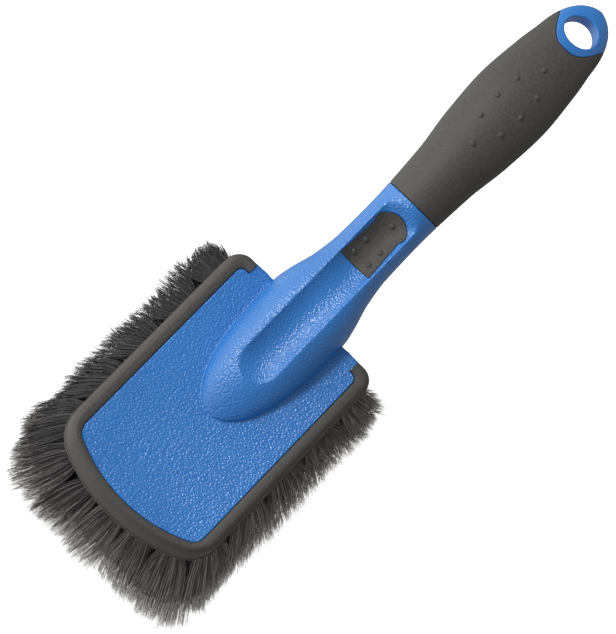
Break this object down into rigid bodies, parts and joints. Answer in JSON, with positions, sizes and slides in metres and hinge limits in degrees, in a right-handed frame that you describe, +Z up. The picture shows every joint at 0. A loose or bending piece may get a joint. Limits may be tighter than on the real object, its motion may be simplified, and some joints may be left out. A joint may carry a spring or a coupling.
{
  "type": "wheel brush",
  "caption": "Short-handled wheel brush: fanned soft bristles under a plastic head with a rubber bumper edge, raised handle with thumb groove, rubber grip and hanging hole.",
  "frame": {"origin": "middle of the bounding box in plan, at the height of the bristle tips, which is the surface the brush stands on", "axes": "+X along the brush towards the hanging end of the handle, +Z up from the bristle tips to the head, +Y to the left side of the head seen from above with the handle pointing away"},
  "size_m": [0.2922, 0.1054, 0.0886],
  "materials": {
    "blue_plastic": "satin, fine pebble grain",
    "grey_rubber": "matte",
    "dark_bristle": "matte"
  },
  "bodies": {
    "root": {"handle_body": "blue_plastic", "head_bumper": "grey_rubber", "handle_grip": "grey_rubber", "thumb_pad": "grey_rubber", "tuft_r1_c1": "dark_bristle", "tuft_r1_c2": "dark_bristle", "tuft_r1_c3": "dark_bristle", "tuft_r1_c4": "dark_bristle", "tuft_r1_c5": "dark_bristle", "tuft_r1_c6": "dark_bristle", "tuft_r2_c1": "dark_bristle", "tuft_r2_c2": "dark_bristle", "tuft_r2_c3": "dark_bristle", "tuft_r2_c4": "dark_bristle", "tuft_r2_c5": "dark_bristle", "tuft_r3_c1": "dark_bristle", "tuft_r3_c2": "dark_bristle", "tuft_r3_c3": "dark_bristle", "tuft_r3_c4": "dark_bristle", "tuft_r3_c5": "dark_bristle", "tuft_r3_c6": "dark_bristle", "tuft_r4_c1": "dark_bristle", "tuft_r4_c2": "dark_bristle", "tuft_r4_c3": "dark_bristle", "tuft_r4_c4": "dark_bristle", "tuft_r4_c5": "dark_bristle", "tuft_r5_c1": "dark_bristle", "tuft_r5_c2": "dark_bristle", "tuft_r5_c3": "dark_bristle", "tuft_r5_c4": "dark_bristle", "tuft_r5_c5": "dark_bristle", "tuft_r5_c6": "dark_bristle", "tuft_r6_c1": "dark_bristle", "tuft_r6_c2": "dark_bristle", "tuft_r6_c3": "dark_bristle", "tuft_r6_c4": "dark_bristle", "tuft_r6_c5": "dark_bristle", "tuft_r7_c1": "dark_bristle", "tuft_r7_c2": "dark_bristle", "tuft_r7_c3": "dark_bristle", "tuft_r7_c4": "dark_bristle", "tuft_r7_c5": "dark_bristle", "tuft_r7_c6": "dark_bristle", "tuft_r8_c1": "dark_bristle", "tuft_r8_c2": "dark_bristle", "tuft_r8_c3": "dark_bristle", "tuft_r8_c4": "dark_bristle", "tuft_r8_c5": "dark_bristle", "tuft_r9_c1": "dark_bristle", "tuft_r9_c2": "dark_bristle", "tuft_r9_c3": "dark_bristle", "tuft_r9_c4": "dark_bristle", "tuft_r9_c5": "dark_bristle", "tuft_r9_c6": "dark_bristle", "tuft_r10_c1": "dark_bristle", "tuft_r10_c2": "dark_bristle", "tuft_r10_c3": "dark_bristle", "tuft_r10_c4": "dark_bristle", "tuft_r10_c5": "dark_bristle"}
  },
  "joints": []
}
